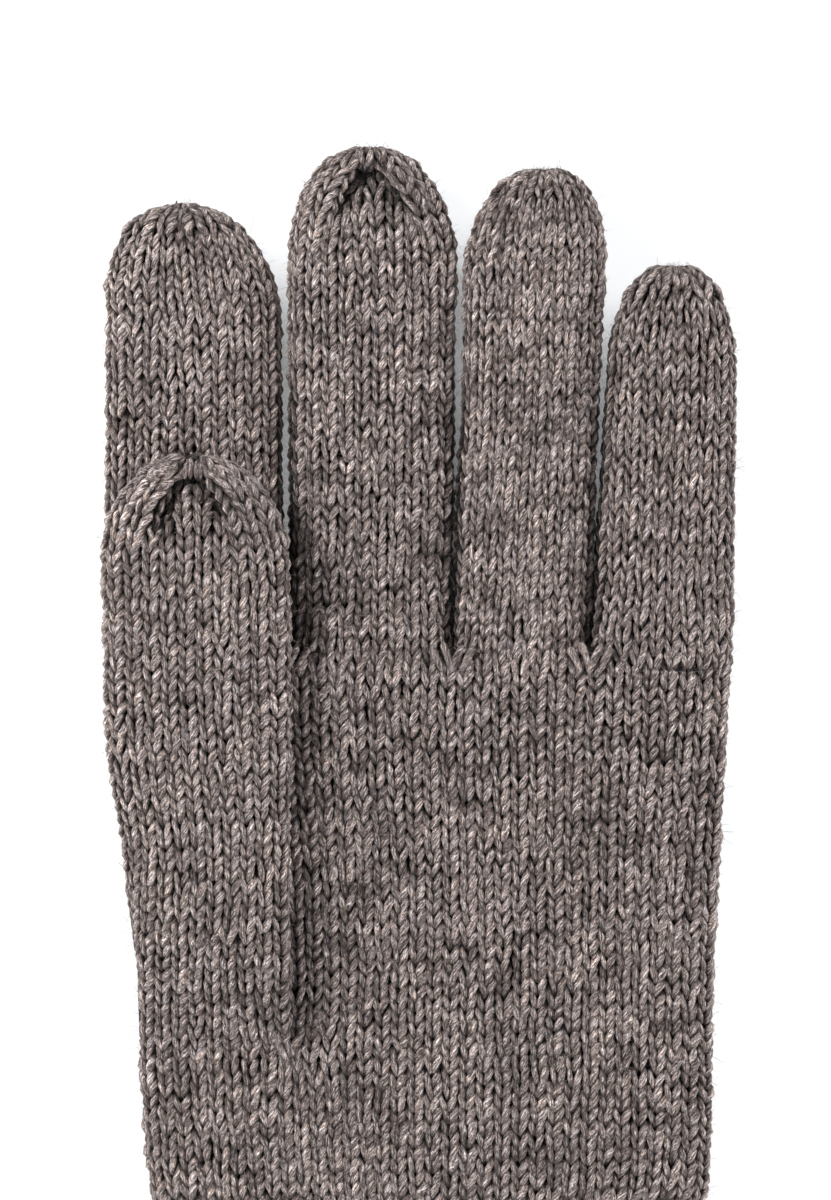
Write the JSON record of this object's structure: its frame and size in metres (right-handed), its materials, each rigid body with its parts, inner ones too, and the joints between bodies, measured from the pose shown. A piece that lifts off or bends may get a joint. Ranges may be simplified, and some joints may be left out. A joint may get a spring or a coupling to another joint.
{
  "type": "knitted glove",
  "caption": "Left-hand plain-knit wool glove with tubular finger stalls and drawn-up tips, its thumb folded over the palm, on a long ribbed cuff.",
  "frame": {"origin": "bottom of the cuff rim, at the middle of the glove's overall width and depth", "axes": "+Z from cuff to fingertips, +Y out of the back of the hand, palm towards -Y, thumb on the -X side"},
  "size_m": [0.1016, 0.0212, 0.25],
  "materials": {
    "knit_hand": "matte two-ply wool, stocking stitch, heathered grey-brown",
    "knit_finger": "matte two-ply wool, stocking stitch, heathered grey-brown",
    "knit_thumb": "matte two-ply wool, stocking stitch, heathered grey-brown",
    "knit_cuff": "matte two-ply wool, two-by-two rib, heathered grey-brown",
    "stitch_wool": "matte two-ply wool, drawn tight",
    "label_cloth": "plain off-white woven tape, blank"
  },
  "bodies": {
    "hand": {"hand_tube": "knit_hand", "thumb_gusset": "knit_hand", "index_middle_crotch_join": "stitch_wool", "middle_ring_crotch_join": "stitch_wool", "ring_little_crotch_join": "stitch_wool", "thumb_crotch_join": "stitch_wool"},
    "cuff": {"cuff_rib": "knit_cuff", "cuff_edge": "knit_cuff", "care_label": "label_cloth"},
    "index_base": {"index_base_tube": "knit_finger"},
    "index_mid": {"index_mid_tube": "knit_finger"},
    "index_tip": {"index_tip_tube": "knit_finger", "index_tip_closure": "stitch_wool"},
    "middle_base": {"middle_base_tube": "knit_finger"},
    "middle_mid": {"middle_mid_tube": "knit_finger"},
    "middle_tip": {"middle_tip_tube": "knit_finger", "middle_tip_closure": "stitch_wool"},
    "ring_base": {"ring_base_tube": "knit_finger"},
    "ring_mid": {"ring_mid_tube": "knit_finger"},
    "ring_tip": {"ring_tip_tube": "knit_finger", "ring_tip_closure": "stitch_wool"},
    "little_base": {"little_base_tube": "knit_finger"},
    "little_mid": {"little_mid_tube": "knit_finger"},
    "little_tip": {"little_tip_tube": "knit_finger", "little_tip_closure": "stitch_wool"},
    "thumb_base": {"thumb_base_tube": "knit_thumb"},
    "thumb_mid": {"thumb_mid_tube": "knit_thumb"},
    "thumb_tip": {"thumb_tip_tube": "knit_thumb", "thumb_tip_closure": "stitch_wool"}
  },
  "joints": [
    {"name": "cuff_fold", "type": "hinge", "parent": "hand", "child": "cuff", "pos_m": [0, -0.00105, 0.06775], "axis": [-1, 0, 0], "range_deg": [0, 70], "stiffness_Nm_per_rad": 0.05},
    {"name": "index_base_curl", "type": "hinge", "parent": "hand", "child": "index_base", "pos_m": [-0.0362, -0.00005, 0.1695], "axis": [1, 0, 0], "range_deg": [0, 70], "stiffness_Nm_per_rad": 0.02},
    {"name": "index_mid_curl", "type": "hinge", "parent": "index_base", "child": "index_mid", "pos_m": [-0.0362, -0.00005, 0.2035], "axis": [1, 0, 0], "range_deg": [0, 90], "stiffness_Nm_per_rad": 0.02},
    {"name": "index_tip_curl", "type": "hinge", "parent": "index_mid", "child": "index_tip", "pos_m": [-0.0362, -0.00005, 0.2215], "axis": [1, 0, 0], "range_deg": [0, 54], "stiffness_Nm_per_rad": 0.01},
    {"name": "middle_base_curl", "type": "hinge", "parent": "hand", "child": "middle_base", "pos_m": [-0.00775, -0.00005, 0.1695], "axis": [1, 0, 0], "range_deg": [0, 70], "stiffness_Nm_per_rad": 0.02},
    {"name": "middle_mid_curl", "type": "hinge", "parent": "middle_base", "child": "middle_mid", "pos_m": [-0.00775, -0.00005, 0.1985], "axis": [1, 0, 0], "range_deg": [0, 90], "stiffness_Nm_per_rad": 0.02},
    {"name": "middle_tip_curl", "type": "hinge", "parent": "middle_mid", "child": "middle_tip", "pos_m": [-0.00775, -0.00005, 0.2225], "axis": [1, 0, 0], "range_deg": [0, 54], "stiffness_Nm_per_rad": 0.01},
    {"name": "ring_base_curl", "type": "hinge", "parent": "hand", "child": "ring_base", "pos_m": [0.0162, -0.00005, 0.1695], "axis": [1, 0, 0], "range_deg": [0, 70], "stiffness_Nm_per_rad": 0.02},
    {"name": "ring_mid_curl", "type": "hinge", "parent": "ring_base", "child": "ring_mid", "pos_m": [0.0162, -0.00005, 0.1973], "axis": [1, 0, 0], "range_deg": [0, 90], "stiffness_Nm_per_rad": 0.02},
    {"name": "ring_tip_curl", "type": "hinge", "parent": "ring_mid", "child": "ring_tip", "pos_m": [0.0162, -0.00005, 0.2205], "axis": [1, 0, 0], "range_deg": [0, 54], "stiffness_Nm_per_rad": 0.01},
    {"name": "little_base_curl", "type": "hinge", "parent": "hand", "child": "little_base", "pos_m": [0.0387, -0.00005, 0.1695], "axis": [1, 0, 0], "range_deg": [0, 70], "stiffness_Nm_per_rad": 0.02},
    {"name": "little_mid_curl", "type": "hinge", "parent": "little_base", "child": "little_mid", "pos_m": [0.0387, -0.00005, 0.1918], "axis": [1, 0, 0], "range_deg": [0, 90], "stiffness_Nm_per_rad": 0.02},
    {"name": "little_tip_curl", "type": "hinge", "parent": "little_mid", "child": "little_tip", "pos_m": [0.0387, -0.00005, 0.2104], "axis": [1, 0, 0], "range_deg": [0, 54], "stiffness_Nm_per_rad": 0.01},
    {"name": "thumb_fold", "type": "hinge", "parent": "hand", "child": "thumb_base", "pos_m": [-0.0358, -0.01095, 0.1342], "axis": [1, 0, 0], "range_deg": [0, 98], "stiffness_Nm_per_rad": 0.02},
    {"name": "thumb_swing", "type": "hinge", "parent": "thumb_base", "child": "thumb_mid", "pos_m": [-0.0484, -0.00595, 0.147], "axis": [0, -1, 0], "range_deg": [0, 25], "stiffness_Nm_per_rad": 0.02},
    {"name": "thumb_tip_bend", "type": "hinge", "parent": "thumb_mid", "child": "thumb_tip", "pos_m": [-0.0358, -0.01095, 0.174], "axis": [1, 0, 0], "range_deg": [0, 50], "stiffness_Nm_per_rad": 0.01}
  ],
  "couplings": [
    {"joint": "index_tip_curl", "follows": "index_mid_curl", "ratio": 0.6},
    {"joint": "middle_tip_curl", "follows": "middle_mid_curl", "ratio": 0.6},
    {"joint": "ring_tip_curl", "follows": "ring_mid_curl", "ratio": 0.6},
    {"joint": "little_tip_curl", "follows": "little_mid_curl", "ratio": 0.6},
    {"joint": "thumb_fold", "follows": "index_base_curl", "ratio": 1.4}
  ]
}
